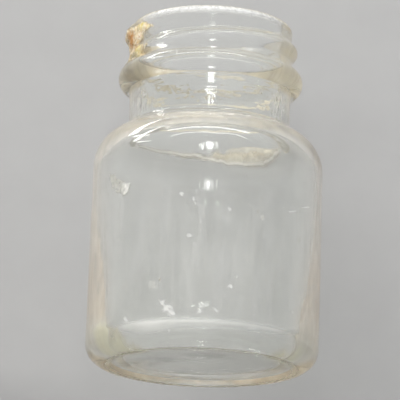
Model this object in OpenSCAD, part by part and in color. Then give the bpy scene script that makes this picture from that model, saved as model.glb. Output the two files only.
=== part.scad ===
// Small clear-glass specimen jar with a screw neck, standing upright, and its
// loose metal screw cap lying open side up beside it.
// Millimetres. Origin: centre of the resting ring under the base. +Z up, out of the mouth.

/* [Glass jar] */
// Outer diameter of the round body
body_d = 36; // [35.6:0.1:36.4]
// Height from the resting ring to the top of the lip
jar_h = 54.6; // [54.4:0.1:55.6]
// Outer diameter of the neck at the root of the thread
neck_d = 25.2; // [25:0.1:25.4]
// Diameter of the mouth
mouth_d = 21.8; // [21:0.1:22.2]
// Outer diameter of the round bead under the thread
bead_d = 28.9; // [28.4:0.1:29.2]
// Height of the bead's middle above the resting ring
bead_z = 45.6; // [45.3:0.1:45.8]
// Radius of the rounded heel
heel_r = 3.2; // [2.8:0.1:3.6]
// Radius of the rounded shoulder
shoulder_r = 6.5; // [6.3:0.1:6.6]
// Height of the hollow under the base
push_up = 0.9; // [0.4:0.1:1.4]
// Thickness of the glass at the middle of the base
base_t = 1.4; // [1.2:0.1:2]

/* [Screw thread] */
// Rise of the thread in one turn
pitch = 4.2; // [4:0.1:4.3]
// How far the jar's thread stands out from the neck
thread_h = 0.95; // [0.8:0.05:1]
// Height of the thread's middle on the +X side
thread_z = 50.6; // [50.4:0.1:50.7]

/* [Label scrap] */
// Thickness of the scrap of old label
scrap_t = 0.12; // [0.1:0.02:0.2]
// Height of the scrap's middle
scrap_z = 25.7; // [22:0.1:28]
// Direction of the scrap's middle round the jar, in degrees from +X
scrap_a = 222; // [200:1:300]

/* [Cap] */
// Outer diameter of the cap's skirt
cap_d = 28.8; // [28.6:0.1:29]
// Height of the cap
cap_h = 8.4; // [8.2:0.1:9]
// Thickness of the cap's sheet metal
sheet_t = 0.4; // [0.35:0.05:0.45]
// Number of grip ribs round the skirt
rib_n = 80; // [60:2:100]
// Where the cap lies: distance from the jar's axis along X
cap_x = -50; // [-60:1:-48]
// Where the cap lies: distance from the jar's axis along Y
cap_y = -20; // [-26:1:0]
// Thickness of the liner board
board_t = 1.0; // [0.8:0.1:1.2]
// Thickness of the liner's facing
facing_t = 0.2; // [0.15:0.05:0.3]

/* [Hidden] */
$fn = 96;

// Points along an arc in the half-plane of a turned profile.
function arc(c, r, a0, a1, n) =
    [for (i = [0 : n]) let (a = a0 + (a1 - a0) * i / n) [c[0] + r * cos(a), c[1] + r * sin(a)]];

// A rise from 0 to 1 with level ends.
function ease(t) = let (u = min(1, max(0, t))) u * u * (3 - 2 * u);

body_r = body_d / 2;
neck_r = neck_d / 2;
mouth_r = mouth_d / 2;

// Resting ring under the base.
ring_ro = body_r - heel_r;
ring_ri = ring_ro - 0.8;

// Outer shoulder arc, and the hollow fillet that leads it into the neck.
sh_c = [body_r - shoulder_r, 31];
fil_r = 1.5;
fil_dx = neck_r + fil_r - sh_c[0];
fil_dz = sqrt(pow(shoulder_r + fil_r, 2) - pow(fil_dx, 2));
fil_c = [neck_r + fil_r, sh_c[1] + fil_dz];
fil_a = atan2(fil_dz, fil_dx);

// Bead under the thread: a round swelling a little inside the neck's surface.
bead_r = 1.95;
bead_c = [bead_d / 2 - bead_r, bead_z];
bead_a = acos((neck_r - bead_c[0]) / bead_r);

// Lip: a rounder outer corner and a smaller inner corner.
lip_ro = 0.9;
lip_ri = 0.6;

// Inner shoulder arc, and the rounded corner of glass where the mouth opens into the body.
in_sh_r = 5.1;
in_sh_c = [body_r - 1.3 - in_sh_r, 30.9];
in_cor_r = 1.8;
in_dx = mouth_r + in_cor_r - in_sh_c[0];
in_dz = sqrt(pow(in_sh_r + in_cor_r, 2) - pow(in_dx, 2));
in_cor_c = [mouth_r + in_cor_r, in_sh_c[1] + in_dz];
in_a = atan2(in_dz, in_dx);

// Inner wall: it thickens slowly under the shoulder, and then evenly down to the rounded inner heel.
wall_top = in_sh_c[0] + in_sh_r;
wall_foot = body_r - 3.4;
in_heel_r = 3.2;
floor_rim = push_up + base_t - 0.5;
function wall_end(tilt) = floor_rim + in_heel_r * (1 - sin(tilt));
function wall_tilt(n) = n == 0 ? 5 : atan((wall_top - wall_foot) / (in_sh_c[1] - wall_end(wall_tilt(n - 1)) - 5));
in_tilt = wall_tilt(4);
in_heel_c = [wall_foot - in_heel_r * cos(in_tilt), floor_rim + in_heel_r];
function wall_in(z) = let (u = in_sh_c[1] - z) wall_top - tan(in_tilt) * (u < 10 ? u * u / 20 : u - 5);

// Cross-section of the glass, from the axis under the base, up the outside and down the inside.
jar_profile = concat(
    [for (i = [0 : 5]) let (r = ring_ri * i / 6) [r, push_up * (1 - pow(r / ring_ri, 2))]],
    [[ring_ri, 0]],
    arc([ring_ro, heel_r], heel_r, -90, 0, 10),
    arc(sh_c, shoulder_r, 0, fil_a, 12),
    arc(fil_c, fil_r, fil_a + 170, 180, 6),
    arc(bead_c, bead_r, -bead_a, bead_a, 16),
    arc([neck_r - lip_ro, jar_h - lip_ro], lip_ro, 0, 90, 6),
    arc([mouth_r + lip_ri, jar_h - lip_ri], lip_ri, 90, 180, 5),
    arc(in_cor_c, in_cor_r, 180, in_a + 180, 7),
    arc(in_sh_c, in_sh_r, in_a - 6, 0, 11),
    [for (i = [1 : 8]) let (z = in_sh_c[1] + (wall_end(in_tilt) - in_sh_c[1]) * i / 9) [wall_in(z), z]],
    arc(in_heel_c, in_heel_r, -in_tilt, -90, 9),
    [for (i = [1 : 6]) let (r = in_heel_c[0] * (1 - i / 6)) [r, floor_rim + 0.5 * pow(1 - pow(r / in_heel_c[0], 2), 2)]]
);

// A rounded ridge swept along a screw line. prof holds [along the axis, out from r0] pairs;
// the ridge rises over fade_a degrees at its start and sinks over fade_b degrees at its end.
module screw_ridge(prof, r0, rise, a0, a1, z0, n, fade_a, fade_b) {
    m = len(prof);
    pts = [for (i = [0 : n]) let (
            a = a0 + (a1 - a0) * i / n,
            f = ease((a - a0) / fade_a) * ease((a1 - a) / fade_b),
            z = z0 + rise * a / 360)
        for (p = prof) let (
            side = sign(prof[floor(m / 2)][1]),
            out = p[1] * side < 0 ? p[1] : side * ((abs(p[1]) + 0.2) * f - 0.2),
            r = r0 + out,
            w = p[0] * (0.45 + 0.55 * f))
        [r * cos(a), r * sin(a), z + w]];
    sides = [for (i = [0 : n - 1]) for (j = [0 : m - 1]) let (k = (j + 1) % m)
        each [[i * m + j, (i + 1) * m + j, (i + 1) * m + k], [i * m + j, (i + 1) * m + k, i * m + k]]];
    polyhedron(pts, concat(sides,
        [[for (j = [0 : m - 1]) j]],
        [[for (j = [m - 1 : -1 : 0]) n * m + j]]));
}

// Outline of the jar's thread, low edge to high edge, with its foot sunk in the glass.
jar_thread = [[1.5, -0.3], [1.45, 0.02], [0.95, 0.62 * thread_h], [0.4, thread_h],
              [-0.4, thread_h], [-0.95, 0.62 * thread_h], [-1.45, 0.02], [-1.5, -0.3]];

module glass_jar() {
    color([0.85, 0.88, 0.85, 0.5]) union() {
        rotate_extrude() polygon(jar_profile);
        // one turn of right-hand thread, highest on the -X side and sinking towards the bead
        screw_ridge(jar_thread, neck_r, pitch, -170, 208, thread_z, 63, 50, 20);
    }
}

// A torn scrap of old label that hugs the body: its outline is in millimetres, as seen from outside.
module label_scrap() {
    color([0.8, 0.78, 0.7]) intersection() {
        difference() {
            cylinder(r = body_r + scrap_t, h = 30);
            translate([0, 0, -1]) cylinder(r = body_r, h = 33);
        }
        rotate([0, 0, scrap_a]) translate([0, 0, scrap_z])
            rotate([90, 0, 90]) linear_extrude(height = body_r + 2)
                polygon([[-2.4, 2.1], [-1.9, 1.6], [-1.2, 1.7], [-0.7, 0.9], [0.2, 0.6], [1.0, -0.1],
                         [1.5, -0.4], [2.5, -0.3], [2.2, -1.0], [1.9, -1.9], [1.1, -2.1], [0.3, -1.6],
                         [-0.5, -1.5], [-0.9, -0.8], [-1.7, -0.4], [-2.0, 0.4], [-2.5, 1.1]]);
    }
}

cap_ro = cap_d / 2;
cap_ri = cap_ro - sheet_t;
corner_r = 1.1;
curl_r = 0.6;
curl_a = acos(-0.15 / curl_r);
liner_r = cap_ri - 0.4;
liner_z = sheet_t + 0.15;

// Cross-section of the cap's sheet metal with its flat top down: panel, rounded corner, skirt and curled edge.
cap_profile = concat(
    [[0, 0]],
    arc([cap_ro - corner_r, corner_r], corner_r, -90, 0, 6),
    arc([cap_ro + 0.15, cap_h - curl_r], curl_r, -curl_a, 110, 10),
    [[cap_ri, cap_h - 0.15]],
    arc([cap_ro - corner_r, corner_r], corner_r - sheet_t, 0, -90, 5),
    [[0, sheet_t]]
);

// Outline of the cap's thread, standing inwards from the skirt.
cap_thread = [[-0.9, 0.3], [-0.85, -0.02], [-0.35, -0.8], [0.35, -0.8], [0.85, -0.02], [0.9, 0.3]];

module cap_shell() {
    color([0.72, 0.71, 0.68]) translate([cap_x, cap_y, 0]) union() {
        rotate_extrude() polygon(cap_profile);
        // grip ribs round the skirt
        translate([0, 0, 1.5]) linear_extrude(height = 2.6) difference() {
            polygon([for (i = [0 : 2 * rib_n - 1])
                let (a = 180 * i / rib_n, r = cap_ro + (i % 2 == 0 ? 0.02 : 0.28)) [r * cos(a), r * sin(a)]]);
            circle(r = cap_ro - 0.2);
        }
        // one turn of right-hand thread inside the skirt
        screw_ridge(cap_thread, cap_ri, pitch, 0, 350, 3.0, 48, 30, 30);
    }
}

module liner_board() {
    color([0.62, 0.5, 0.36]) translate([cap_x, cap_y, liner_z])
        cylinder(r = liner_r, h = board_t);
}

module liner_facing() {
    color([0.9, 0.88, 0.8]) translate([cap_x, cap_y, liner_z + board_t])
        cylinder(r = liner_r, h = facing_t);
}

glass_jar();
label_scrap();
cap_shell();
liner_board();
liner_facing();
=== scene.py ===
"""Small clear-glass specimen jar with a screw neck, and its loose tinplate cap with a liner.
Metres, +Z up along the jar's axis, origin under the middle of its base."""

import math

import bpy
import numpy as np
from mathutils import Matrix, Vector


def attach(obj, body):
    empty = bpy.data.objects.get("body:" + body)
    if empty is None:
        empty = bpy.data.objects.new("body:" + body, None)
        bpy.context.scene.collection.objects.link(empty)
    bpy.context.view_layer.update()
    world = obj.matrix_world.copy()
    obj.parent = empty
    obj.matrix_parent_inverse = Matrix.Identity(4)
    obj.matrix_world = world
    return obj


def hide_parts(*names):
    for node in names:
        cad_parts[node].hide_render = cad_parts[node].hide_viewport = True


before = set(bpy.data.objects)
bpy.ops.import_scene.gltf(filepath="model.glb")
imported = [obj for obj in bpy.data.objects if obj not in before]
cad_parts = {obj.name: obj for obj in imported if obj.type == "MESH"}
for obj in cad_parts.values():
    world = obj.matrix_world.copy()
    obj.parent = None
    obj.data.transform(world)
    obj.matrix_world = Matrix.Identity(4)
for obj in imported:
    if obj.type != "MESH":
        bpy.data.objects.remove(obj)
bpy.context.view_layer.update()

MM = 0.001
TAU = 2 * math.pi


# ---------------------------------------------------------------- helpers

def smoothstep(a, b, x):
    t = np.clip((x - a) / (b - a), 0.0, 1.0)
    return t * t * (3 - 2 * t)


class Waves:
    """A smooth repeatable unevenness round an axis: a sum of sines of angle (whole numbers of waves) and height."""

    def __init__(self, seed, count, most_round, most_up):
        r = np.random.RandomState(seed)
        self.m = r.randint(-most_round, most_round + 1, count)
        self.q = r.uniform(-most_up, most_up, count)
        self.p = r.uniform(0, TAU, count)
        self.a = r.uniform(0.4, 1.0, count)
        self.a /= math.sqrt((self.a ** 2).sum() / 2)

    def __call__(self, t, z):
        out = 0.0
        for m, q, p, a in zip(self.m, self.q, self.p, self.a):
            out = out + a * np.sin(m * t + q * z + p)
        return out


class Lattice:
    """Repeatable value noise in the plane, from -1 to 1."""

    def __init__(self, seed):
        self.g = np.random.RandomState(seed).uniform(-1, 1, (64, 64))

    def one(self, x, y):
        xi, yi = np.floor(x).astype(int), np.floor(y).astype(int)
        fx, fy = x - xi, y - yi
        fx, fy = fx * fx * (3 - 2 * fx), fy * fy * (3 - 2 * fy)
        g = self.g
        a, b = g[xi % 64, yi % 64], g[(xi + 1) % 64, yi % 64]
        c, d = g[xi % 64, (yi + 1) % 64], g[(xi + 1) % 64, (yi + 1) % 64]
        return (a * (1 - fx) + b * fx) * (1 - fy) + (c * (1 - fx) + d * fx) * fy

    def __call__(self, x, y, octaves=3):
        out, amp, tot = 0.0, 1.0, 0.0
        for k in range(octaves):
            out = out + amp * self.one(x * 2 ** k + 7.3 * k, y * 2 ** k + 3.1 * k)
            tot += amp
            amp *= 0.5
        return out / tot


def arc(c, r, a0, a1, step):
    n = max(2, int(math.ceil(abs(math.radians(a1 - a0)) * r / step)))
    return [(c[0] + r * math.cos(math.radians(a0 + (a1 - a0) * i / n)),
             c[1] + r * math.sin(math.radians(a0 + (a1 - a0) * i / n))) for i in range(n + 1)]


def line(p, q, step):
    n = max(1, int(math.ceil(math.dist(p, q) / step)))
    return [(p[0] + (q[0] - p[0]) * i / n, p[1] + (q[1] - p[1]) * i / n) for i in range(n + 1)]


def chain(*runs):
    """Joins runs of points (with a tag each) into one run, without doubled points."""
    out = []
    for tag, pts in runs:
        for p in pts:
            if not out or math.dist(p, out[-1][:2]) > 1e-4:
                out.append((p[0], p[1], tag))
    return out


def lathe(prof, n, move=None, paint=None):
    """Vertices and faces of a closed turned body. prof runs from the axis to the axis; move(r, z, tag, t) shifts the rings
    and paint(r, z, tag, t) gives named numbers for each vertex."""
    r = np.array([p[0] for p in prof])[:, None]
    z = np.array([p[1] for p in prof])[:, None]
    tag = np.array([p[2] for p in prof])[:, None]
    t = (np.arange(n) * TAU / n)[None, :]
    rr, zz = r + 0 * t, z + 0 * t
    if move:
        rr, zz = move(rr, zz, tag + 0 * t, t + 0 * r)
    m = len(prof)
    x, y = rr * np.cos(t), rr * np.sin(t)
    verts = [(0.0, 0.0, float(zz[0].mean()))]
    ring = np.stack([x, y, zz], -1)[1:m - 1].reshape(-1, 3)
    verts += ring.tolist()
    verts.append((0.0, 0.0, float(zz[-1].mean())))
    last = len(verts) - 1
    faces = []
    idx = lambda i, j: 1 + (i - 1) * n + j % n
    for j in range(n):
        faces.append((0, idx(1, j + 1), idx(1, j)))
    for i in range(1, m - 2):
        for j in range(n):
            faces.append((idx(i, j), idx(i, j + 1), idx(i + 1, j + 1), idx(i + 1, j)))
    for j in range(n):
        faces.append((idx(m - 2, j), idx(m - 2, j + 1), last))
    if not paint:
        return verts, faces
    marks = {k: [float(v[0].mean())] + v[1:m - 1].ravel().tolist() + [float(v[-1].mean())]
             for k, v in paint(rr, zz, tag + 0 * t, t + 0 * r).items()}
    return verts, faces, marks


def patch(hold, height, place, u, v):
    """A closed thin sheet over the cells of a u, v grid where hold is true. height(u, v) is its thickness, which is
    kept on the vertices as well, and place(u, v, h) puts a point in space."""
    nu, nv = len(u) - 1, len(v) - 1
    U, V = np.meshgrid(u, v, indexing="ij")
    H = height(U, V)
    used = {}
    verts, faces, thick = [], [], []

    def at(i, j, top):
        k = (i, j, top)
        if k not in used:
            used[k] = len(verts)
            verts.append(tuple(place(U[i, j], V[i, j], H[i, j] if top else -0.02)))
            thick.append(float(H[i, j]))
        return used[k]

    for i in range(nu):
        for j in range(nv):
            if not hold[i, j]:
                continue
            faces.append((at(i, j, 1), at(i + 1, j, 1), at(i + 1, j + 1, 1), at(i, j + 1, 1)))
            faces.append((at(i, j, 0), at(i, j + 1, 0), at(i + 1, j + 1, 0), at(i + 1, j, 0)))
            if i == 0 or not hold[i - 1, j]:
                faces.append((at(i, j, 1), at(i, j + 1, 1), at(i, j + 1, 0), at(i, j, 0)))
            if i == nu - 1 or not hold[i + 1, j]:
                faces.append((at(i + 1, j + 1, 1), at(i + 1, j, 1), at(i + 1, j, 0), at(i + 1, j + 1, 0)))
            if j == 0 or not hold[i, j - 1]:
                faces.append((at(i + 1, j, 1), at(i, j, 1), at(i, j, 0), at(i + 1, j, 0)))
            if j == nv - 1 or not hold[i, j + 1]:
                faces.append((at(i, j + 1, 1), at(i + 1, j + 1, 1), at(i + 1, j + 1, 0), at(i, j + 1, 0)))
    return verts, faces, {"thick": thick}


def add_mesh(name, verts, faces, marks=None, shift=(0, 0, 0), smooth=True):
    me = bpy.data.meshes.new(name)
    me.from_pydata([((x + shift[0]) * MM, (y + shift[1]) * MM, (z + shift[2]) * MM) for x, y, z in verts], [], faces)
    me.validate()
    me.polygons.foreach_set("use_smooth", [smooth] * len(me.polygons))
    for k, v in (marks or {}).items():
        me.attributes.new(k, "FLOAT", "POINT").data.foreach_set("value", v)
    me.update()
    ob = bpy.data.objects.new(name, me)
    bpy.context.scene.collection.objects.link(ob)
    return ob


class Tree:
    """A material's node tree, with short calls."""

    def __init__(self, name):
        self.mat = bpy.data.materials.new(name)
        self.mat.use_nodes = True
        self.nt = self.mat.node_tree
        self.nt.nodes.clear()
        self.out = self.nt.nodes.new("ShaderNodeOutputMaterial")

    def new(self, kind, props=None, **ins):
        n = self.nt.nodes.new("ShaderNode" + kind)
        for k, v in (props or {}).items():
            setattr(n, k, v)
        for k, v in ins.items():
            self.put(n, k, v)
        return n

    def put(self, n, key, v):
        key = key.replace("_", " ") if isinstance(key, str) else key
        s = n.inputs[key]
        if isinstance(v, bpy.types.NodeSocket):
            self.nt.links.new(v, s)
        elif isinstance(v, bpy.types.Node):
            self.nt.links.new(v.outputs[0], s)
        else:
            s.default_value = v

    def coords(self, scale=1000.0):
        """Object coordinates in millimetres, with a stretch if scale is three numbers."""
        c = self.new("TexCoord")
        m = self.new("Mapping")
        self.nt.links.new(c.outputs["Object"], m.inputs["Vector"])
        m.inputs["Scale"].default_value = (scale,) * 3 if isinstance(scale, (int, float)) else scale
        return m.outputs[0]

    def mark(self, name):
        """A number kept on the mesh's vertices."""
        return self.new("Attribute", {"attribute_name": name}).outputs["Fac"]

    def noise(self, vec, scale, detail=3.0, rough=0.55, distort=0.0):
        return self.new("TexNoise", Vector=vec, Scale=scale, Detail=detail, Roughness=rough, Distortion=distort).outputs[0]

    def ramp(self, fac, *stops, mode="LINEAR"):
        n = self.new("ValToRGB")
        n.color_ramp.interpolation = mode
        e = n.color_ramp.elements
        while len(e) < len(stops):
            e.new(0.5)
        for k, (p, c) in zip(e, stops):
            k.position = p
            k.color = (c, c, c, 1) if isinstance(c, (int, float)) else (*c, 1)
        self.put(n, "Fac", fac)
        return n.outputs[0]

    def math(self, op, a, b=None, c=None, clamp=False):
        n = self.new("Math", {"operation": op, "use_clamp": clamp})
        for i, v in enumerate((a, b, c)):
            if v is not None:
                self.put(n, i, v)
        return n.outputs[0]

    def mix(self, fac, a, b, blend="MIX"):
        n = self.new("Mix", {"data_type": "RGBA", "blend_type": blend})
        self.put(n, 0, fac)
        for i, v in ((6, a), (7, b)):
            self.put(n, i, v if isinstance(v, bpy.types.NodeSocket) else (*v, 1) if len(v) == 3 else v)
        return n.outputs[2]

    def near(self, vec, point, size, wobble=None):
        """1 at a point, falling to 0 at about size millimetres from it, with an uneven edge."""
        d = self.new("VectorMath", {"operation": "DISTANCE"})
        self.put(d, 0, vec)
        d.inputs[1].default_value = point
        x = self.math("DIVIDE", d.outputs["Value"], size)
        if wobble is not None:
            x = self.math("MULTIPLY_ADD", wobble, 0.9, self.math("SUBTRACT", x, 0.45))
        return self.ramp(x, (0.25, 1.0), (1.0, 0.0), mode="EASE")

    def bump(self, height, strength, distance):
        return self.new("Bump", Height=height, Strength=strength, Distance=distance).outputs[0]

    def done(self, shader):
        self.nt.links.new(shader.outputs[0], self.out.inputs["Surface"])
        return self.mat


# ---------------------------------------------------------------- sizes in millimetres

BODY_R, NECK_R, MOUTH_R, JAR_H = 18.0, 12.6, 10.9, 54.6
PITCH, THREAD_Z, THREAD_H = 4.2, 50.6, 0.95
THREAD_A0, THREAD_A1, FADE_A, FADE_B = -170.0, 208.0, 50.0, 20.0
RING_RI, FLOOR_Z, FOOT_R, IN_HEEL = 14.0, 1.8, 14.6, 3.2
CAP_AT = (-50.0, -20.0, 0.0)


def thread(t, z):
    """How far the screw thread stands out of the neck at angle t and height z."""
    deg = np.degrees(t) % 360.0
    best = np.zeros(np.broadcast(t, z).shape)
    for k in (-360.0, 0.0):
        a = deg + k
        f = smoothstep(0, 1, (a - THREAD_A0) / FADE_A) * smoothstep(0, 1, (THREAD_A1 - a) / FADE_B)
        zc = THREAD_Z + PITCH * a / 360.0
        w = 1.5 * (0.45 + 0.55 * f)
        d = np.clip(np.abs(z - zc) / w, 0, 1)
        h = THREAD_H * f * np.power(np.cos(d * math.pi / 2) ** 2, 0.5)
        best = np.maximum(best, np.where((a >= THREAD_A0) & (a <= THREAD_A1), h, 0.0))
    return best


# ---------------------------------------------------------------- glass jar

def wall_in(z):
    """Radius of the inside of the body: the wall thickens slowly under the shoulder, and then evenly down to the foot."""
    u = 30.9 - z
    return 16.7 - TAPER * (u * u / 20.0 if u < 10.0 else u - 5.0)


# the even slope of the wall, and where it runs into the rounded inner heel
TAPER = 0.1
for _ in range(6):
    WALL_END = FLOOR_Z + IN_HEEL * (1 - math.sin(math.atan(TAPER)))
    TAPER = (16.7 - FOOT_R) / (30.9 - WALL_END - 5.0)


def jar_profile():
    under = [(RING_RI * i / 26, 0.9 * (1 - (i / 26) ** 2)) for i in range(27)]
    fil_dx, fil_r = 12.6 + 1.5 - 11.5, 1.5
    fil_dz = math.sqrt((6.5 + 1.5) ** 2 - fil_dx ** 2)
    fil_a = math.degrees(math.atan2(fil_dz, fil_dx))
    bead_a = math.degrees(math.acos((NECK_R - 12.5) / 1.95))
    in_dx = MOUTH_R + 1.8 - 11.6
    in_dz = math.sqrt(6.9 ** 2 - in_dx ** 2)
    in_a = math.degrees(math.atan2(in_dz, in_dx))
    tilt = math.degrees(math.atan(TAPER))
    heel_r = FOOT_R - IN_HEEL * math.cos(math.radians(tilt))
    wall = [(wall_in(30.9 + (WALL_END - 30.9) * i / 44), 30.9 + (WALL_END - 30.9) * i / 44) for i in range(45)]
    floor = [(heel_r * (1 - i / 22), FLOOR_Z + 0.5 * (1 - (1 - i / 22) ** 2) ** 2) for i in range(23)]
    return chain(
        (0, under), (0, line((RING_RI, 0), (14.8, 0), 0.4)),
        (1, arc((14.8, 3.2), 3.2, -90, 0, 0.3)), (1, line((18, 3.2), (18, 31), 0.62)),
        (1, arc((11.5, 31), 6.5, 0, fil_a, 0.35)), (1, arc((14.1, 31 + fil_dz), fil_r, fil_a + 180, 180, 0.22)),
        (1, line((12.6, 31 + fil_dz), (12.6, 43.65), 0.45)), (1, arc((12.5, 45.6), 1.95, -bead_a, bead_a, 0.2)),
        (1, line((12.6, 47.55), (12.6, 53.7), 0.14)), (1, arc((11.7, 53.7), 0.9, 0, 90, 0.14)),
        (2, arc((11.5, 54.0), 0.6, 90, 180, 0.14)), (2, line((10.9, 54.0), (10.9, 39.0), 0.55)),
        (2, line((10.9, 39.0), (10.9, 30.9 + in_dz), 0.16)), (2, arc((12.7, 30.9 + in_dz), 1.8, 180, 180 + in_a, 0.12)),
        (2, arc((11.6, 30.9), 5.1, in_a, 40, 0.16)), (2, arc((11.6, 30.9), 5.1, 40, 0, 0.35)),
        (2, wall), (2, arc((heel_r, FLOOR_Z + IN_HEEL), IN_HEEL, -tilt, -90, 0.22)), (3, floor))


def make_jar():
    round_wave, long_wave, stria = Waves(3, 9, 5, 0.16), Waves(5, 10, 6, 0.12), Waves(11, 7, 60, 0.22)
    rough_floor = Waves(17, 8, 5, 0.0)

    def move(r, z, tag, t):
        outer, inner = (tag == 1), (tag == 2)
        deg = np.degrees(t) % 360.0
        # thread on the neck, sinking into the rounded lip
        neck = smoothstep(47.5, 48.2, z) * (1 - smoothstep(53.6, 54.3, z))
        d_out = thread(t, z) * neck * (r > 11.9)
        # slow unevenness of a moulded and blown wall; the inside is less true than the outside
        body = smoothstep(2.5, 6, z) * (1 - smoothstep(36, 40, z))
        d_out = d_out + 0.02 * round_wave(t, z) * body - 0.03 * body
        # a faint ripple under the shoulder
        d_out = d_out - 0.052 * smoothstep(23.0, 25.6, z) * (1 - smoothstep(31, 37, z))
        near = np.exp(-((deg - 270) / 17.0) ** 2) + 0.35 * np.exp(-((deg - 96) / 30.0) ** 2)
        d_in = (0.09 * long_wave(t, z) + 0.055 * near * stria(t, z)) * smoothstep(6.5, 12, z) * (1 - smoothstep(31, 36, z))
        rr = r + np.where(outer, d_out, 0) + np.where(inner, d_in, 0)
        zz = z + np.where(tag == 3, 0.05 * rough_floor(t, r) * (r / 11.3), 0)
        # the rounded corner of glass where the mouth opens into the body: a small lip, sagging on one side
        away = (deg - 58 + 180) % 360 - 180
        sag = np.where(away > 0, np.exp(-(away / 26.0) ** 2), np.exp(-(away / 40.0) ** 2))
        corner = np.exp(-((z - 36.2) / 1.1) ** 2) * (r > 10.95)
        wide = np.exp(-((z - 36.0) / 2.0) ** 2) * (r > 10.95)
        zz = zz - np.where(inner, (0.35 + 0.08 * round_wave(t, 0 * z)) * corner + 1.5 * sag * wide, 0)
        return rr, zz

    def paint(r, z, tag, t):
        deg = np.degrees(t) % 360.0
        inner = (tag == 2) * 1.0
        # how much cream film shows where light is trapped in the thick of the wall, by height and side: partly residue,
        # partly a painted glow at the jar's edges
        residue_glow_amount = np.interp(z, [0, 29, 32, 37.5, 39, 43, 44.2, 48, 50, 53.5, 54.5], [1, 1, 0.6, 0.5, 0.25, 0.25, 1.5, 1.5, 0.9, 0.9, 1.0])
        side = np.abs(np.cos(t)) ** 1.5
        heel = 1 - smoothstep(2.6, 5.2, z)
        residue_glow_amount = residue_glow_amount * np.where(tag == 2, 1 - heel * (0.85 - 0.75 * side), 1.0)
        residue_glow_amount = residue_glow_amount * (1 - 0.96 * smoothstep(0.10, 0.55, np.sin(t)) * (1 - smoothstep(3.2, 6.0, z)))
        residue_glow_amount = np.where((tag == 0) | (tag == 3), 0.04, residue_glow_amount)
        # a leaf-shaped patch where the mouth's inner corner sags, and a thin seam that runs on from its lower edge
        arm = (deg + 90) % 360.0 - 90
        low = np.interp(arm, [-6, 20, 30, 45, 57, 69, 82, 96, 104, 120, 138, 158, 190],
                        [36.3, 35.4, 34.9, 34.4, 34.4, 34.8, 35.4, 36.1, 36.3, 36.25, 36.2, 36.15, 36.1])
        high = np.interp(arm, [-6, 20, 30, 46, 52, 65, 78, 88, 96], [36.4, 36.8, 37.3, 38.0, 38.3, 38.1, 37.4, 36.4, 36.2])
        leaf = inner * smoothstep(-0.1, 0.2, z - low) * (1 - smoothstep(-0.5, 0.3, z - high)) * smoothstep(-10, 4, arm) * (1 - smoothstep(86, 97, arm))
        span = smoothstep(-8, 6, arm) * (1 - smoothstep(160, 180, arm))
        seam = inner * np.exp(-((z - low - 0.12) / 0.26) ** 2) * span
        glow = inner * np.exp(-((arm - 32) / 18.0) ** 2 - ((z - high + 0.75) / 0.55) ** 2)
        # painted highlight: a pale line round the front of the inner heel
        front = smoothstep(196, 235, deg) * (1 - smoothstep(305, 344, deg))
        frost = inner * (np.exp(-((z - 3.7) / 0.6) ** 2) + 0.6 * np.exp(-((z - 3.9) / 0.25) ** 2)) * front * (0.8 + 0.2 * np.cos(np.radians(deg - 250) * 3.0))
        frost = frost + 0.5 * inner * np.exp(-((deg - 239) / 10.0) ** 2 - ((z - 3.5) / 0.65) ** 2)
        # scuffs on the resting ring
        scuff = (tag < 2) * np.exp(-((r - 14.45) / 0.5) ** 2) * (z < 0.3)
        # lumps of old residue in the heel on one side
        lumps = np.zeros(z.shape)
        for a, h, sa, sh in ((201, 3.6, 9, 1.5), (212, 2.6, 9, 0.9), (222, 2.1, 8, 0.6), (328, 2.3, 9, 0.6), (341, 2.7, 8, 0.9)):
            lumps = np.maximum(lumps, np.exp(-((deg - a) / sa) ** 2 - ((z - h) / sh) ** 2))
        return {"residue": residue_glow_amount, "leaf": np.clip(leaf, 0, 1), "seam": seam, "glow": glow, "lumps": lumps * inner, "frost": frost, "scuff": scuff}

    verts, faces, marks = lathe(jar_profile(), 232, move, paint)
    # seeds: small drawn-out bubbles in the glass wall
    rs = np.random.RandomState(23)
    for k in range(15):
        a, z = rs.uniform(0, TAU), rs.uniform(6, 30)
        wall = BODY_R - wall_in(z)
        size = rs.uniform(0.08, 0.17)
        rad = BODY_R - wall * rs.uniform(0.35, 0.65)
        long = rs.uniform(1.2, 2.6)
        base = len(verts)
        nu, nv = 10, 7
        for i in range(nv + 1):
            lat = math.pi * (i / nv - 0.5)
            for j in range(nu):
                lon = TAU * j / nu
                dr, dt, dz = size * math.cos(lat) * math.cos(lon), size * math.cos(lat) * math.sin(lon), size * long * math.sin(lat)
                if i in (0, nv) and j:
                    continue
                verts.append(((rad + dr) * math.cos(a) - dt * math.sin(a), (rad + dr) * math.sin(a) + dt * math.cos(a), z + dz))
        row = lambda i, j: base if i == 0 else base + 1 + (nv - 1) * nu if i == nv else base + 1 + (i - 1) * nu + j % nu
        for i in range(nv):
            for j in range(nu):
                q = (row(i + 1, j), row(i + 1, j + 1), row(i, j + 1), row(i, j))
                faces.append(tuple(dict.fromkeys(q)))
    for v in marks.values():
        v.extend([0.0] * (len(verts) - len(v)))
    return add_mesh("jar_glass", verts, faces, marks)


def on_jar(deg, z, r=BODY_R):
    a = math.radians(deg)
    return (r * math.cos(a), r * math.sin(a), z)


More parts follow.
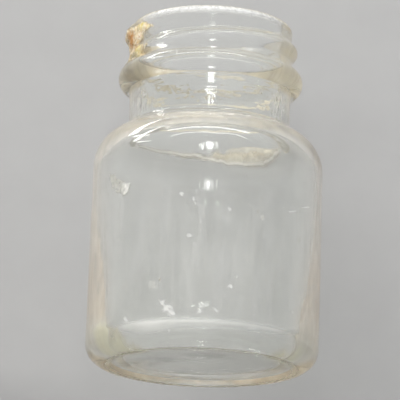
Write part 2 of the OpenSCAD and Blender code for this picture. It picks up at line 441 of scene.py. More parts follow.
def glass_material():
    t = Tree("old_clear_glass")
    mm = t.coords()
    tall = t.coords((1000, 1000, 240))
    sep = t.new("SeparateXYZ", Vector=mm)
    flat = t.new("VectorMath", {"operation": "MULTIPLY"})
    t.nt.links.new(mm, flat.inputs[0])
    flat.inputs[1].default_value = (1, 1, 0)
    rad = t.new("VectorMath", {"operation": "LENGTH"})
    t.nt.links.new(flat.outputs[0], rad.inputs[0])
    radius = rad.outputs["Value"]
    # film of dust and dried water: cloudy patches, faint upright runs, small specks
    cloud = t.ramp(t.noise(mm, 0.11, 4, 0.6, 0.6), (0.40, 0.0), (0.72, 1.0))
    runs = t.ramp(t.noise(tall, 0.55, 3, 0.55, 0.3), (0.50, 0.0), (0.78, 1.0))
    fine = t.ramp(t.noise(mm, 3.2, 2, 0.5), (0.45, 0.0), (0.8, 1.0))
    vor = t.new("TexVoronoi", {"feature": "F1"}, Vector=mm, Scale=0.42, Randomness=1.0)
    pick = t.new("SeparateColor", Color=vor.outputs["Color"])
    near = t.math("LESS_THAN", vor.outputs["Distance"], t.math("MULTIPLY", pick.outputs[1], 0.09))
    speck = t.math("MULTIPLY", near, t.math("GREATER_THAN", pick.outputs[0], 0.80))
    drops = t.new("TexVoronoi", {"feature": "F1"}, Vector=mm, Scale=1.25, Randomness=1.0)
    which = t.new("SeparateColor", Color=drops.outputs["Color"])
    drop = t.math("MULTIPLY", t.math("LESS_THAN", drops.outputs["Distance"], t.math("MULTIPLY", which.outputs[1], 0.33)), t.math("GREATER_THAN", which.outputs[0], 0.90))
    drop = t.math("MULTIPLY", drop, t.math("MAXIMUM", t.near(mm, on_jar(268, 19.5), 6.5, cloud), t.near(mm, on_jar(100, 12.0), 5.5, cloud)))
    # dried smears at a few places on the wall
    wob = t.new("VectorMath", {"operation": "MULTIPLY_ADD"})
    t.nt.links.new(t.new("TexNoise", Vector=mm, Scale=1.6, Detail=3.0, Roughness=0.6).outputs["Color"], wob.inputs[0])
    wob.inputs[1].default_value = (2.2, 2.2, 1.6)
    t.nt.links.new(mm, wob.inputs[2])
    smear = None
    for deg, z, size in SMEARS:
        d = t.new("VectorMath", {"operation": "DISTANCE"})
        t.nt.links.new(wob.outputs[0], d.inputs[0])
        x, y, h = on_jar(deg, z)
        d.inputs[1].default_value = (x + 1.1, y + 1.1, h + 0.8)
        k = t.ramp(t.math("DIVIDE", d.outputs["Value"], size), (0.45, 1.0), (1.0, 0.0))
        smear = k if smear is None else t.math("MAXIMUM", smear, k)
    for (a0, z0), (a1, z1) in SCRATCHES:
        A, B = Vector(on_jar(a0, z0)), Vector(on_jar(a1, z1))
        AB = B - A
        pa = t.new("VectorMath", {"operation": "SUBTRACT"})
        t.nt.links.new(mm, pa.inputs[0])
        pa.inputs[1].default_value = A
        dot = t.new("VectorMath", {"operation": "DOT_PRODUCT"})
        t.nt.links.new(pa.outputs[0], dot.inputs[0])
        dot.inputs[1].default_value = AB / AB.length_squared
        along = t.math("ADD", dot.outputs["Value"], 0.0, clamp=True)
        sc_ = t.new("VectorMath", {"operation": "SCALE"})
        sc_.inputs[0].default_value = AB
        t.nt.links.new(along, sc_.inputs["Scale"])
        d = t.new("VectorMath", {"operation": "DISTANCE"})
        t.nt.links.new(pa.outputs[0], d.inputs[0])
        t.nt.links.new(sc_.outputs[0], d.inputs[1])
        smear = t.math("MAXIMUM", smear, t.ramp(t.math("MULTIPLY", d.outputs["Value"], 4.0), (0.25, 0.9), (0.60, 0.0)))
    edge = t.new("LayerWeight", Blend=0.5)
    geo = t.new("NewGeometry")
    fres = t.new("Fresnel", IOR=1.51)
    # painted glow: cream film where the light can't leave the glass, in the thick of the wall at its edges, and on the
    # outside where the wall is seen edge on; partly residue
    inner = t.math("MULTIPLY", t.math("POWER", fres.outputs[0], 2.0), geo.outputs["Backfacing"])
    edge_dust_glow = t.math("MULTIPLY", t.math("POWER", edge.outputs["Facing"], 4.0), t.math("SUBTRACT", 1.0, geo.outputs["Backfacing"]))
    film_and_glow = t.math("MULTIPLY_ADD", cloud, 0.034, 0.013)
    film_and_glow = t.math("MULTIPLY_ADD", runs, 0.022, film_and_glow)
    film_and_glow = t.math("MULTIPLY_ADD", fine, 0.010, film_and_glow)
    curtain = t.ramp(t.noise(t.coords((1000, 1000, 70)), 0.42, 2, 0.5, 0.9), (0.46, 0.0), (0.70, 1.0))
    curtain = t.math("MULTIPLY", curtain, t.ramp(t.math("DIVIDE", sep.outputs["Z"], 60.0), (0.06, 0.0), (0.12, 1.0), (0.36, 1.0), (0.48, 0.0)))
    film_and_glow = t.math("MULTIPLY_ADD", curtain, 0.055, film_and_glow)
    streak = t.ramp(t.noise(t.coords((1000, 1000, 350)), 0.30, 3, 0.6, 0.5), (0.30, 0.45), (0.70, 1.0))
    # painted glow of the trapped light, in streaks, weighted by the residue mark
    residue_glow_held = t.math("MULTIPLY", inner, t.mark("residue"))
    film_and_glow = t.math("MULTIPLY_ADD", t.math("MULTIPLY", residue_glow_held, streak), 0.46, film_and_glow)
    # wear: the lip is dull all round, and the crests of the thread and the bead a little; the whitish film on the lip
    # is also a painted highlight band along it
    patchy = t.ramp(t.noise(mm, 1.4, 4, 0.65), (0.30, 0.35), (0.65, 1.0))
    lip = t.math("MULTIPLY", t.ramp(t.math("SUBTRACT", sep.outputs["Z"], 53.0), (0.45, 0.0), (0.85, 1.0)), patchy)
    high = t.ramp(t.math("MULTIPLY_ADD", sep.outputs["Z"], 0.1, -4.3), (0.02, 0.0), (0.10, 1.0))
    crest = t.ramp(t.math("SUBTRACT", radius, 13.0), (0.15, 0.0), (0.45, 1.0))
    crest = t.math("MULTIPLY", t.math("MULTIPLY", crest, high), patchy)
    film_and_glow = t.math("MULTIPLY_ADD", lip, 0.42, film_and_glow)
    film_and_glow = t.math("MULTIPLY_ADD", crest, 0.05, film_and_glow)
    # residue in the mouth's inner corner and in the heel
    mottle = t.ramp(t.noise(mm, 0.9, 4, 0.6, 0.4), (0.30, 0.45), (0.62, 1.0))
    leaf = t.math("MULTIPLY", t.mark("leaf"), mottle)
    seam, glow = t.mark("seam"), t.mark("glow")
    lumps = t.ramp(t.math("MULTIPLY_ADD", t.noise(mm, 1.0, 3, 0.6, 0.5), 0.6, t.math("SUBTRACT", t.mark("lumps"), 0.30)), (0.15, 0.0), (0.75, 1.0))
    deposit = t.math("MAXIMUM", t.math("MAXIMUM", leaf, seam), t.math("MAXIMUM", glow, lumps))
    film_and_glow = t.math("MULTIPLY_ADD", leaf, 0.34, film_and_glow)
    film_and_glow = t.math("MULTIPLY_ADD", seam, 0.65, film_and_glow)
    film_and_glow = t.math("MULTIPLY_ADD", glow, 0.45, film_and_glow)
    film_and_glow = t.math("MULTIPLY_ADD", lumps, 0.32, film_and_glow)
    # painted highlight round the front of the inner heel
    film_and_glow = t.math("MULTIPLY_ADD", t.mark("frost"), 0.45, film_and_glow)
    film_and_glow = t.math("MULTIPLY_ADD", t.math("MULTIPLY", t.mark("scuff"), patchy), 0.40, film_and_glow)
    # painted glow along the edges of the wall seen edge on
    film_and_glow = t.math("MULTIPLY_ADD", edge_dust_glow, 0.16, film_and_glow)
    film_and_glow = t.math("MAXIMUM", film_and_glow, t.math("MULTIPLY", speck, 0.38))
    film_and_glow = t.math("MAXIMUM", film_and_glow, t.math("MULTIPLY", drop, 0.22))
    film_and_glow = t.math("MAXIMUM", film_and_glow, t.math("MULTIPLY", smear, 0.36), clamp=True)
    clear = t.math("SUBTRACT", 1.0, film_and_glow, clamp=True)
    # the painted glow and the deposits take the cream colour; elsewhere the film is near white
    glow_and_deposit = t.math("MULTIPLY", t.math("ADD", t.math("ADD", residue_glow_held, edge_dust_glow), deposit), 3.0, clamp=True)
    # painted warm colour of the glow at the edges, by height; it also tints the deposits
    glow_and_deposit_cream = t.ramp(t.math("MULTIPLY_ADD", sep.outputs["Z"], 0.0167, t.math("MULTIPLY", cloud, 0.04)), (0.03, (0.83, 0.80, 0.71)), (0.075, (0.81, 0.74, 0.58)),
                   (0.13, (0.79, 0.65, 0.46)), (0.22, (0.78, 0.63, 0.44)), (0.34, (0.78, 0.69, 0.56)), (0.50, (0.79, 0.72, 0.61)), (0.80, (0.81, 0.74, 0.59)))
    glow_and_deposit_cream = t.mix(t.math("MAXIMUM", leaf, glow), glow_and_deposit_cream, (0.95, 0.91, 0.79))
    glow_and_deposit_cream = t.mix(seam, glow_and_deposit_cream, (0.97, 0.96, 0.92))
    glow_and_deposit_cream = t.mix(lumps, glow_and_deposit_cream, (0.80, 0.77, 0.57))
    white = t.mix(glow_and_deposit, (0.90, 0.91, 0.91), glow_and_deposit_cream)
    white = t.mix(t.math("MAXIMUM", speck, smear), white, (0.92, 0.92, 0.90))
    rough = t.math("MULTIPLY_ADD", cloud, 0.050, 0.045)
    rough = t.math("MULTIPLY_ADD", runs, 0.030, rough)
    rough = t.math("MULTIPLY_ADD", t.math("MULTIPLY", t.mark("scuff"), patchy), 0.45, rough)
    p = t.new("BsdfPrincipled", Base_Color=t.mix(t.math("MULTIPLY", film_and_glow, 4.0, clamp=True), (0.975, 0.982, 0.968), white),
              Roughness=rough, IOR=1.51, Transmission_Weight=clear)
    # upright waves left by the blowing, strongest on the front
    front = t.ramp(t.math("ABSOLUTE", t.math("MULTIPLY", sep.outputs["Y"], 0.05)), (0.70, 0.25), (0.88, 1.0))
    wave = t.noise(t.coords((1000, 1000, 90)), 0.75, 2, 0.45, 0.25)
    upright = t.ramp(t.math("DIVIDE", sep.outputs["Z"], 60.0), (0.09, 0.0), (0.15, 1.0), (0.50, 1.0), (0.56, 0.0))
    # and level ripples on the neck
    ripple = t.noise(t.coords((200, 200, 1000)), 0.62, 2, 0.5, 0.3)
    on_neck = t.ramp(t.math("DIVIDE", sep.outputs["Z"], 60.0), (0.61, 0.0), (0.64, 1.0), (0.73, 1.0), (0.77, 0.30), (0.85, 0.12), (0.90, 0.0))
    h = t.math("MULTIPLY_ADD", ripple, t.math("MULTIPLY", on_neck, 1.7), t.math("MULTIPLY", t.math("MULTIPLY", wave, front), upright))
    crinkle = t.noise(t.coords((1000, 1000, 500)), 0.85, 2, 0.5, 0.4)
    low_neck = t.ramp(t.math("DIVIDE", sep.outputs["Z"], 60.0), (0.62, 0.0), (0.65, 1.0), (0.69, 1.0), (0.725, 0.0))
    h = t.math("MULTIPLY_ADD", crinkle, t.math("MULTIPLY", low_neck, 1.7), h)
    t.put(p, "Normal", t.bump(h, 1.0, 0.00006))
    # lamps shine through the glass, less so where the wall is seen edge on
    lp = t.new("LightPath")
    through = t.new("BsdfTransparent", Color=t.ramp(edge.outputs["Facing"], (0.0, 0.93), (0.6, 0.82), (1.0, 0.40)))
    both = t.new("MixShader")
    t.put(both, 0, lp.outputs["Is Shadow Ray"])
    t.put(both, 1, p)
    t.put(both, 2, through)
    m = t.done(both)
    ab = t.new("VolumeAbsorption", Color=(0.90, 0.95, 0.84, 1), Density=14.0)
    t.nt.links.new(ab.outputs[0], t.out.inputs["Volume"])
    return m


# both ends of each scratch: direction in degrees and height
SCRATCHES = [((314.5, 21.9), (319.0, 22.3)), ((324.5, 23.2), (331.0, 23.8)), ((140.0, 12.0), (144.0, 13.1)), ((75.0, 18.5), (80.0, 17.9))]
# direction in degrees, height and size in millimetres of each dried smear
SMEARS = [(252.6, 5.3, 0.95), (255.0, 4.6, 0.75), (250.0, 6.2, 0.6), (282.5, 8.8, 0.6), (230.3, 4.2, 0.5), (258.0, 22.9, 0.5),
          (263.9, 22.1, 0.45), (280.8, 20.8, 0.45), (268.5, 4.7, 0.5), (277.0, 5.0, 0.5), (262.5, 16.5, 0.35), (120.0, 14.0, 0.7),
          (60.0, 26.0, 0.6), (20.0, 9.0, 0.7), (152.0, 20.0, 0.6)]
jar = make_jar()
jar.data.materials.append(glass_material())
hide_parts("glass_jar")
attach(jar, "jar")


# ---------------------------------------------------------------- torn scrap of label

def make_scrap():
    outline = np.array([(-2.4, 2.1), (-1.9, 1.6), (-1.2, 1.7), (-0.7, 0.9), (0.2, 0.6), (1.0, -0.1), (1.5, -0.4), (2.5, -0.3),
                        (2.2, -1.0), (1.9, -1.9), (1.1, -2.1), (0.3, -1.6), (-0.5, -1.5), (-0.9, -0.8), (-1.7, -0.4),
                        (-2.0, 0.4), (-2.5, 1.1)])
    la, lb = Lattice(31), Lattice(32)
    u, v = np.linspace(-2.7, 2.7, 91), np.linspace(-2.3, 2.3, 79)
    U, V = np.meshgrid((u[1:] + u[:-1]) / 2, (v[1:] + v[:-1]) / 2, indexing="ij")
    X = U + 0.16 * la(U * 2.2, V * 2.2, 3)
    Y = V + 0.16 * lb(U * 2.2, V * 2.2, 3)
    inside = np.zeros(X.shape, bool)
    for (x0, y0), (x1, y1) in zip(outline, np.roll(outline, -1, 0)):
        cross = ((y0 > Y) != (y1 > Y)) & (X < (x1 - x0) * (Y - y0) / (y1 - y0 + 1e-12) + x0)
        inside ^= cross
    inside &= ~((la(U * 3.1 + 9, V * 3.1, 2) > 0.48) & (U < 0.6))
    a0 = math.radians(222)

    def height(U, V):
        return 0.06 + 0.025 * lb(U * 2.0, V * 2.0, 3) + 0.025 * np.clip((U - 0.8) / 1.6, 0, 1)

    def place(x, y, h):
        a, r = a0 + x / BODY_R, BODY_R - 0.005 + h
        return r * math.cos(a), r * math.sin(a), 25.7 + y

    return add_mesh("label_remnant", *patch(inside, height, place, u, v), smooth=True)


def paper_material():
    t = Tree("old_label_paper")
    mm = t.coords()
    fibre = t.noise(t.coords((1000, 1000, 1600)), 4.5, 4, 0.6, 1.4)
    stain = t.noise(mm, 0.9, 3, 0.55)
    tip = t.near(mm, on_jar(228.5, 24.8), 1.9, stain)
    col = t.mix(t.ramp(stain, (0.35, 0.0), (0.7, 1.0)), (0.44, 0.44, 0.40), (0.56, 0.56, 0.52))
    col = t.mix(t.ramp(fibre, (0.50, 0.0), (0.72, 0.45)), col, (0.34, 0.33, 0.28))
    col = t.mix(t.math("MULTIPLY", tip, 0.75), col, (0.70, 0.70, 0.67))
    p = t.new("BsdfPrincipled", Base_Color=col, Roughness=0.9)
    t.put(p, "Normal", t.bump(fibre, 0.5, 0.00005))
    # worn thin, so that the glass shows through it
    worn = t.ramp(t.noise(mm, 1.8, 4, 0.6, 0.3), (0.34, 0.25), (0.66, 0.70))
    thin = t.math("SUBTRACT", worn, t.math("MULTIPLY", tip, 0.25), clamp=True)
    mx = t.new("MixShader")
    t.put(mx, 0, thin)
    t.put(mx, 1, p)
    t.put(mx, 2, t.new("BsdfTransparent"))
    return t.done(mx)


scrap = make_scrap()
scrap.data.materials.append(paper_material())
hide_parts("label_scrap")
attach(scrap, "jar")


# ---------------------------------------------------------------- crust on the lip and thread

# direction and height of each lump, its two half widths and its weight
CRUST = [(198, 51.3, 12, 1.2, 1.3), (184, 51.0, 12, 1.2, 1.6), (209, 52.5, 8, 0.6, 0.8), (217, 52.1, 4.5, 0.4, 0.6), (203, 50.3, 6, 0.7, 0.6),
         (208, 48.7, 9, 0.7, 0.8), (196, 48.5, 9, 1.0, 0.9), (183, 48.5, 12, 0.9, 1.5), (205, 47.7, 9, 0.7, 0.9)]


def outer_r(t, z):
    lip = 11.7 + np.sqrt(np.clip(0.81 - np.clip(z - 53.7, 0, 0.9) ** 2, 0, 1))
    low = 12.5 + np.sqrt(np.clip(1.95 ** 2 - (z - 45.6) ** 2, 0, 4))
    neck = np.where(z > 53.7, lip, np.where(z < 47.54, low, NECK_R))
    return neck + thread(t, z) * smoothstep(47.5, 48.2, z) * (1 - smoothstep(53.6, 54.3, z))


def make_crust():
    la, lb = Lattice(71), Lattice(72)
    u, v = np.radians(np.linspace(162, 230, 201)), np.linspace(46.2, 54.3, 121)

    def depth(T, Z):
        deg = np.degrees(T)
        m = 0.0
        for a, z, sa, sz, k in CRUST:
            m = m + k * np.exp(-((deg - a) / sa) ** 2 - ((Z - z) / sz) ** 2)
        x = T * 13.0
        return 0.66 * (1 - np.exp(-0.9 * m)) + 0.12 * la(x * 1.1, Z * 1.1, 4) + 0.09 * lb(x * 2.6, Z * 2.6, 3) - 0.11

    T, Z = np.meshgrid((u[1:] + u[:-1]) / 2, (v[1:] + v[:-1]) / 2, indexing="ij")
    hold = depth(T, Z) > 0.008
    height = lambda T, Z: np.clip(depth(T, Z), 0.004, 0.75)

    def place(a, z, h):
        r = float(outer_r(np.array(a), np.array(z))) + h
        return r * math.cos(a), r * math.sin(a), z

    return add_mesh("lip_crust", *patch(hold, height, place, u, v))


def crust_material():
    t = Tree("rusty_crust")
    mm = t.coords()
    n1, n2, n3 = t.noise(mm, 0.9, 4, 0.6, 0.5), t.noise(mm, 2.4, 4, 0.65, 0.6), t.noise(mm, 5.5, 3, 0.6)
    at = lambda deg, z: on_jar(deg, z, 13.5)
    col = t.mix(t.ramp(n1, (0.36, 0.0), (0.56, 1.0)), (0.58, 0.44, 0.25), (0.73, 0.59, 0.36))
    col = t.mix(t.math("MULTIPLY", t.near(mm, at(209, 51.2), 1.3, n1), 0.7), col, (0.62, 0.43, 0.35))
    yellow = t.math("MAXIMUM", t.math("MAXIMUM", t.near(mm, at(211, 52.7), 1.6, n1), t.near(mm, at(219, 52.0), 1.2, n1)), t.near(mm, at(209, 48.7), 1.5, n1))
    col = t.mix(yellow, col, (0.76, 0.64, 0.22))
    col = t.mix(t.math("MAXIMUM", t.near(mm, on_jar(201, 47.3, 12.9), 2.3, n1), t.near(mm, on_jar(186, 47.6, 12.9), 1.9, n1)), col, (0.34, 0.29, 0.15))
    pale = t.ramp(t.math("MULTIPLY_ADD", n3, 0.5, t.math("MULTIPLY", n2, 0.5)), (0.50, 0.0), (0.58, 0.95))
    col = t.mix(pale, col, (0.94, 0.89, 0.76))
    rust = t.math("MAXIMUM", t.near(mm, at(195, 51.0), 2.1, n2), t.math("MULTIPLY", t.near(mm, at(205, 49.6), 1.1, n2), 0.7))
    col = t.mix(t.math("MULTIPLY", rust, 0.9), col, (0.50, 0.21, 0.025))
    thick = t.mark("thick")
    p = t.new("BsdfPrincipled", Base_Color=col, Roughness=t.math("MULTIPLY_ADD", n1, 0.45, 0.06), Transmission_Weight=0.10, IOR=1.45)
    t.put(p, "Normal", t.bump(t.math("MULTIPLY_ADD", n2, 1.2, n3), 1.0, 0.00016))
    # thin and see-through towards its edges
    gone = t.ramp(t.math("MULTIPLY_ADD", n2, 0.12, thick), (0.06, 0.85), (0.20, 0.0))
    mx = t.new("MixShader")
    t.put(mx, 0, gone)
    t.put(mx, 1, p)
    t.put(mx, 2, t.new("BsdfTransparent"))
    return t.done(mx)


crust = make_crust()
crust.data.materials.append(crust_material())
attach(crust, "jar")


# ---------------------------------------------------------------- cap

def cap_turn_in(t, z):
    """The rolled thread of the cap: how far the sheet is pressed inwards."""
    deg = np.degrees(t) % 360.0
    a = deg
    f = smoothstep(0, 1, a / 30.0) * smoothstep(0, 1, (350.0 - a) / 30.0)
    zc = 3.0 + PITCH * a / 360.0
    d = np.clip(np.abs(z - zc) / 0.95, 0, 1)
    return 0.62 * f * np.cos(d * math.pi / 2) ** 2


def make_cap():
    ro, ri = 14.4, 14.0
    prof = chain(
        (0, line((0, 0.12), (11.6, 0.12), 0.8)), (0, line((11.6, 0.12), (12.0, 0.0), 0.2)), (0, line((12.0, 0.0), (13.3, 0.0), 0.4)),
        (1, arc((13.3, 1.1), 1.1, -90, 0, 0.18)), (1, line((14.4, 1.1), (14.4, 7.0), 0.14)),
        (2, arc((14.55, 7.8), 0.6, -104, 150, 0.1)), (3, line((14.03, 8.1), (14.0, 7.2), 0.2)),
        (3, line((14.0, 7.2), (14.0, 1.1), 0.14)), (3, arc((13.3, 1.1), 0.7, 0, -90, 0.18)),
        (4, line((13.3, 0.4), (12.0, 0.4), 0.4)), (4, line((12.0, 0.4), (11.6, 0.52), 0.2)), (4, line((11.6, 0.52), (0, 0.52), 0.8)))
    dent = Waves(41, 6, 4, 0.15)

    def move(r, z, tag, t):
        zone = smoothstep(1.4, 1.9, z) * (1 - smoothstep(3.7, 4.2, z))
        ribs = 0.26 * (0.5 + 0.5 * np.cos(80 * t)) ** 1.4 * zone
        press = cap_turn_in(t, z)
        wall = smoothstep(0.9, 2, z) * (1 - smoothstep(6.6, 7.2, z))
        rr = r + np.where(tag == 1, ribs * (1 - press / 0.62) - 0.40 * press * wall, 0)
        rr = rr + np.where(tag == 3, -press * wall + 0.23 * ribs * (1 - press / 0.62), 0)
        rr = rr - 0.02 + 0.015 * dent(t, z) * (r > 5)
        return rr, z

    return add_mesh("cap_metal", *lathe(prof, 480, move), shift=CAP_AT)


def tin_material():
    t = Tree("dull_tinplate")
    mm = t.coords()
    sep = t.new("SeparateXYZ", Vector=mm)
    spangle = t.new("TexVoronoi", {"feature": "F1"}, Vector=mm, Scale=0.9, Randomness=1.0)
    grey = t.new("SeparateColor", Color=spangle.outputs["Color"])
    base = t.mix(grey.outputs[0], (0.50, 0.49, 0.46), (0.66, 0.65, 0.61))
    base = t.mix(t.ramp(t.noise(mm, 0.5, 4, 0.6), (0.4, 0.0), (0.75, 0.6)), base, (0.36, 0.34, 0.30))
    # rust: along the curled edge, in the corner and in patches
    high = t.ramp(t.math("MULTIPLY", sep.outputs["Z"], 0.1), (0.62, 0.0), (0.84, 0.22))
    rn = t.math("ADD", t.noise(mm, 0.7, 5, 0.65, 0.4), high)
    rust = t.ramp(rn, (0.60, 0.0), (0.70, 1.0))
    rcol = t.mix(t.ramp(t.noise(mm, 1.5, 5, 0.7, 0.6), (0.36, 0.0), (0.66, 1.0)), (0.055, 0.024, 0.012), (0.34, 0.14, 0.045))
    col = t.mix(rust, base, rcol)
    p = t.new("BsdfPrincipled", Base_Color=col, Metallic=t.math("SUBTRACT", 1.0, rust, clamp=True),
              Roughness=t.math("MULTIPLY_ADD", rust, 0.45, t.math("MULTIPLY_ADD", grey.outputs[1], 0.12, 0.33)))
    h = t.math("MULTIPLY_ADD", rust, 1.0, t.math("MULTIPLY", t.noise(mm, 4.0, 3, 0.6), 0.5))
    t.put(p, "Normal", t.bump(h, 0.5, 0.00008))
    return t.done(p)


cap = make_cap()
cap.data.materials.append(tin_material())
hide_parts("cap_shell")
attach(cap, "cap")


def make_disc(name, radius, z0, z1, ring, seed):
    """A thin disc with soft edges; ring is the depth that the jar's lip has pressed into its top."""
    e = min(0.12, (z1 - z0) * 0.45)
    prof = chain((0, line((0, z0), (radius - e, z0), 0.6)), (1, arc((radius - e, z0 + e), e, -90, 0, 0.06)),
                 (1, line((radius, z0 + e), (radius, z1 - e), 0.2)), (1, arc((radius - e, z1 - e), e, 0, 90, 0.06)),
                 (2, line((radius - e, z1), (12.9, z1), 0.12)), (2, line((12.9, z1), (10.2, z1), 0.12)), (2, line((10.2, z1), (0, z1), 0.5)))
    wave, small = Waves(seed, 7, 4, 0.5), Waves(seed + 1, 8, 30, 2.0)

    def move(r, z, tag, t):
        dip = ring * np.exp(-((r - 11.6) / 0.55) ** 2) * (1 + 0.25 * wave(t, 0 * r))
        zz = z - np.where(tag == 2, dip + 0.008 * np.abs(wave(t, r)), 0)
        rr = r + np.where(r > radius - 0.5, -0.03 + 0.02 * small(t, 0 * r), 0)
        return rr, zz

    return add_mesh(name, *lathe(prof, 240, move), shift=CAP_AT)


def board_material():
    t = Tree("pulp_board")
    mm = t.coords()
    fleck = t.noise(mm, 3.5, 5, 0.65, 0.8)
    lay = t.noise(t.coords((1000, 1000, 6000)), 1.6, 3, 0.5)
    col = t.mix(t.ramp(fleck, (0.3, 0.0), (0.7, 1.0)), (0.30, 0.20, 0.11), (0.50, 0.38, 0.24))
    col = t.mix(t.ramp(lay, (0.45, 0.0), (0.65, 0.5)), col, (0.22, 0.14, 0.08))
    p = t.new("BsdfPrincipled", Base_Color=col, Roughness=0.95)
    t.put(p, "Normal", t.bump(fleck, 0.6, 0.00008))
    return t.done(p)


def facing_material():
    t = Tree("waxed_paper")
    mm = t.coords()
    shifted = t.new("Mapping", Vector=mm)
    shifted.inputs["Location"].default_value = (-CAP_AT[0], -CAP_AT[1], 0)
    flat = t.new("VectorMath", {"operation": "MULTIPLY"})
    t.nt.links.new(shifted.outputs[0], flat.inputs[0])
    flat.inputs[1].default_value = (1, 1, 0)
    length = t.new("VectorMath", {"operation": "LENGTH"})
    t.nt.links.new(flat.outputs[0], length.inputs[0])
    wob = t.math("MULTIPLY_ADD", t.noise(mm, 0.5, 3, 0.6), 1.6, t.math("SUBTRACT", length.outputs["Value"], 0.8))
    ring = t.ramp(t.math("MULTIPLY", wob, 0.05), (0.50, 0.0), (0.565, 1.0), (0.60, 1.0), (0.66, 0.25))
    fleck = t.noise(mm, 2.2, 4, 0.6)
    col = t.mix(t.ramp(t.noise(mm, 0.25, 3, 0.55), (0.35, 0.0), (0.7, 1.0)), (0.66, 0.60, 0.46), (0.78, 0.74, 0.62))
    col = t.mix(t.ramp(fleck, (0.5, 0.0), (0.8, 0.4)), col, (0.50, 0.42, 0.28))
    col = t.mix(t.math("MULTIPLY", ring, 0.75), col, (0.40, 0.22, 0.09))
    p = t.new("BsdfPrincipled", Base_Color=col, Roughness=0.5)
    t.put(p, "Normal", t.bump(fleck, 0.25, 0.00005))
    return t.done(p)


board = make_disc("liner_pulp", 13.6, 0.57, 1.55, 0.0, 51)
board.data.materials.append(board_material())
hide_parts("liner_board")
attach(board, "cap_liner")

facing = make_disc("liner_face", 13.6, 1.555, 1.75, 0.09, 61)
facing.data.materials.append(facing_material())
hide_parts("liner_facing")
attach(facing, "cap_liner")


# ---------------------------------------------------------------- stage, light and camera

def stage_material(name, value):
    t = Tree(name)
    mm = t.coords(100.0)
    tone = t.ramp(t.noise(mm, 1.5, 3, 0.5), (0.3, value * 0.985), (0.7, value * 1.015))
    p = t.new("BsdfPrincipled", Base_Color=tone, Roughness=0.9)
    g = t.new("NewGeometry")
    see = t.new("BsdfTransparent")
    mx = t.new("MixShader")
    t.put(mx, 0, g.outputs["Backfacing"])
    t.put(mx, 1, p)
    t.put(mx, 2, see)
    return t.done(mx)


def sheet(name, corners, mat):
    me = bpy.data.meshes.new(name)
    me.from_pydata(corners, [], [(0, 1, 2, 3)])
    me.update()
    ob = bpy.data.objects.new(name, me)
    bpy.context.scene.collection.objects.link(ob)
    me.materials.append(mat)
    return ob


WALL_Y = 0.040
pale = stage_material("pale_paper", 0.35)
sheet("floor", [(-1.5, -2.0, -0.00005), (1.5, -2.0, -0.00005), (1.5, 2.0, -0.00005), (-1.5, 2.0, -0.00005)], pale)
sheet("backdrop", [(-1.5, WALL_Y, -0.05), (1.5, WALL_Y, -0.05), (1.5, WALL_Y, 0.20), (-1.5, WALL_Y, 0.20)], pale)

world = bpy.data.worlds.new("studio")
bpy.context.scene.world = world
world.use_nodes = True
wn = world.node_tree
up = wn.nodes.new("ShaderNodeSeparateXYZ")
wn.links.new(wn.nodes.new("ShaderNodeTexCoord").outputs["Generated"], up.inputs[0])
sky = wn.nodes.new("ShaderNodeValToRGB")
half = wn.nodes.new("ShaderNodeMath")
half.operation = "MULTIPLY_ADD"
half.inputs[1].default_value = half.inputs[2].default_value = 0.5
wn.links.new(up.outputs["Z"], half.inputs[0])
wn.links.new(half.outputs[0], sky.inputs[0])
for pos, c in ((0.0, (0.10, 0.10, 0.10)), (0.5, (0.20, 0.20, 0.20)), (0.62, (0.30, 0.30, 0.31)), (1.0, (0.55, 0.56, 0.58))):
    e = sky.color_ramp.elements[0] if pos == 0.0 else sky.color_ramp.elements[-1] if pos == 1.0 else sky.color_ramp.elements.new(pos)
    e.color = (*c, 1)
seen = wn.nodes.new("ShaderNodeMix")
seen.data_type = "RGBA"
haze = wn.nodes.new("ShaderNodeValToRGB")
wn.links.new(half.outputs[0], haze.inputs[0])
for k, pos, c in ((0, 0.496, 0.16), (1, 0.56, 0.40)):
    haze.color_ramp.elements[k].position, haze.color_ramp.elements[k].color = pos, (c, c, c, 1)
wn.links.new(haze.outputs[0], seen.inputs[7])
wn.links.new(wn.nodes.new("ShaderNodeLightPath").outputs["Is Camera Ray"], seen.inputs[0])
wn.links.new(sky.outputs[0], seen.inputs[6])
wn.links.new(seen.outputs[2], wn.nodes["Background"].inputs[0])


def lamp(name, at, to, size, power, colour=(1, 1, 1), shape="RECTANGLE"):
    li = bpy.data.lights.new(name, "AREA")
    li.shape = shape
    li.size, li.size_y = size
    li.energy = power
    li.color = colour
    ob = bpy.data.objects.new(name, li)
    bpy.context.scene.collection.objects.link(ob)
    d = Vector(to) - Vector(at)
    ob.matrix_world = Matrix.Translation(at) @ d.to_track_quat("-Z", "Y").to_matrix().to_4x4()
    ob.visible_camera = False
    return ob


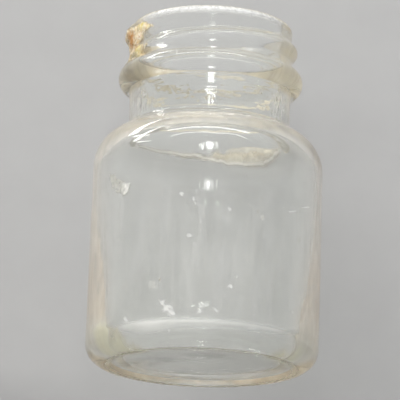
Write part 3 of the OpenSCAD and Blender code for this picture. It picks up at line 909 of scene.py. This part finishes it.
key = lamp("key", (-0.42, -0.62, 0.55), (0, 0, 0.02), (0.36, 0.36), 4.2, (1.0, 0.98, 0.95))
fill = lamp("fill", (0.70, -0.45, 0.35), (0, 0, 0.02), (0.5, 0.5), 1.9, (0.95, 0.97, 1.0))
low = lamp("low", (-0.15, -0.65, 0.07), (0, 0, 0.035), (0.45, 0.10), 2.3, (1.0, 0.99, 0.96))
for ob in (key, fill, low):
    ob.visible_glossy = ob.visible_transmission = False
strip = lamp("strip", (0.0, -0.40, 0.72), (0, 0, 0.03), (1.0, 0.05), 2.2, (1.0, 0.99, 0.97))
back = lamp("back", (-0.10, 0.30, 0.62), (0, 0, 0.04), (1.3, 0.16), 7.5, (1.0, 0.99, 0.97))
back.visible_diffuse = False
side = lamp("side", (-0.62, -0.10, 0.50), (0, 0, 0.03), (0.26, 0.05), 0.45, (1.0, 1.0, 1.0))
# a small lamp just above the camera, soft at its rim
for k, (w, h, power) in enumerate(((0.040, 0.016, 0.024), (0.075, 0.026, 0.045), (0.115, 0.038, 0.066))):
    lamp("window_%d" % k, (0.006, -0.52 - 0.002 * k, 0.188), (0, 0, 0.042), (w, h), power, (1.0, 1.0, 1.0), "ELLIPSE")

# Camera of the photograph: low and in front, looking up past the base.
D, ZC, ROLL, YAW, PITCH_C, LENS = 0.520, -0.1078, 1.94, -0.115, 14.490, 310.9
p, y, r = math.radians(PITCH_C), math.radians(YAW), math.radians(ROLL)
F = Vector((math.cos(p) * math.sin(y), math.cos(p) * math.cos(y), math.sin(p)))
R = Vector((math.cos(y), -math.sin(y), 0))
U = Vector((-math.sin(p) * math.sin(y), -math.sin(p) * math.cos(y), math.cos(p)))
X, Y = math.cos(r) * R + math.sin(r) * U, math.cos(r) * U - math.sin(r) * R
cam = bpy.data.objects.new("camera", bpy.data.cameras.new("camera"))
cam.data.sensor_width = 36.0
cam.data.lens = LENS
cam.data.clip_start, cam.data.clip_end = 0.01, 20.0
cam.matrix_world = Matrix(((X.x, Y.x, -F.x, 0.0), (X.y, Y.y, -F.y, -D), (X.z, Y.z, -F.z, ZC), (0, 0, 0, 1)))
bpy.context.scene.collection.objects.link(cam)
bpy.context.scene.camera = cam

sc = bpy.context.scene
sc.view_settings.view_transform = "Standard"
sc.cycles.max_bounces = 24
sc.cycles.transmission_bounces = 20
sc.cycles.transparent_max_bounces = 24
sc.cycles.glossy_bounces = 10
